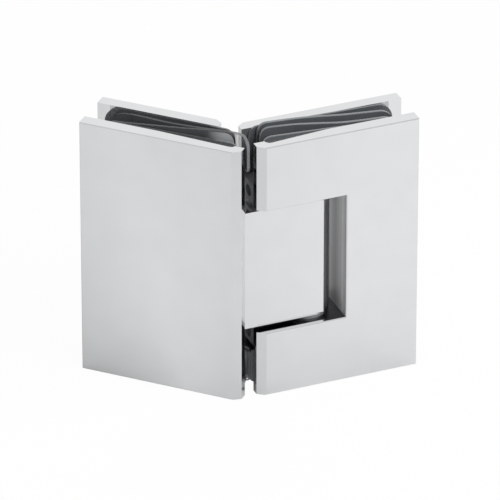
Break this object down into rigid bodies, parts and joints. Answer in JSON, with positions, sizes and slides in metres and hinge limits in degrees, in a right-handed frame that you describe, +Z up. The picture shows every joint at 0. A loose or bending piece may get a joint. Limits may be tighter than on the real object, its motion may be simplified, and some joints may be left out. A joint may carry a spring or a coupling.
{
  "type": "glass door hinge",
  "caption": "Chromed 135 degree glass-to-glass shower door hinge: two clamp leaves with PVC gaskets, one cut out round a pivot block and turning on its pin.",
  "frame": {"origin": "middle of the footprint, at the plates' lower edges", "axes": "+Z up along the pivot pin, +Y towards the back of the leaves, +X from the fixed leaf towards the door leaf"},
  "size_m": [0.1076, 0.0405, 0.0919],
  "materials": {
    "chrome": "polished chrome on brass",
    "steel": "plain stainless steel",
    "spring_steel": "drawn wire",
    "acetal": "satin moulded",
    "pvc": "clear soft PVC sheet"
  },
  "bodies": {
    "fixed_leaf": {"fixed_front_plate": "chrome", "fixed_back_plate": "chrome", "pivot_block": "chrome", "bush_upper": "acetal", "bush_lower": "acetal", "detent": "acetal", "detent_spring": "spring_steel", "spring_plug": "steel", "fixed_clamp_screws": "steel", "fixed_gasket_front": "pvc", "fixed_gasket_middle_front": "pvc", "fixed_gasket_middle_back": "pvc", "fixed_gasket_back": "pvc"},
    "door_leaf": {"door_front_plate": "chrome", "door_back_plate": "chrome", "pivot_pin": "steel", "pin_set_screws": "steel", "thrust_washer_upper": "acetal", "thrust_washer_lower": "acetal", "door_clamp_screws": "steel", "door_gasket_front": "pvc", "door_gasket_middle_front": "pvc", "door_gasket_middle_back": "pvc", "door_gasket_back": "pvc"}
  },
  "joints": [
    {"name": "door_swing", "type": "hinge", "parent": "fixed_leaf", "child": "door_leaf", "pos_m": [0.01831, -0.00168, 0.045], "axis": [0, 0, 1], "range_deg": [-90, 90]}
  ]
}
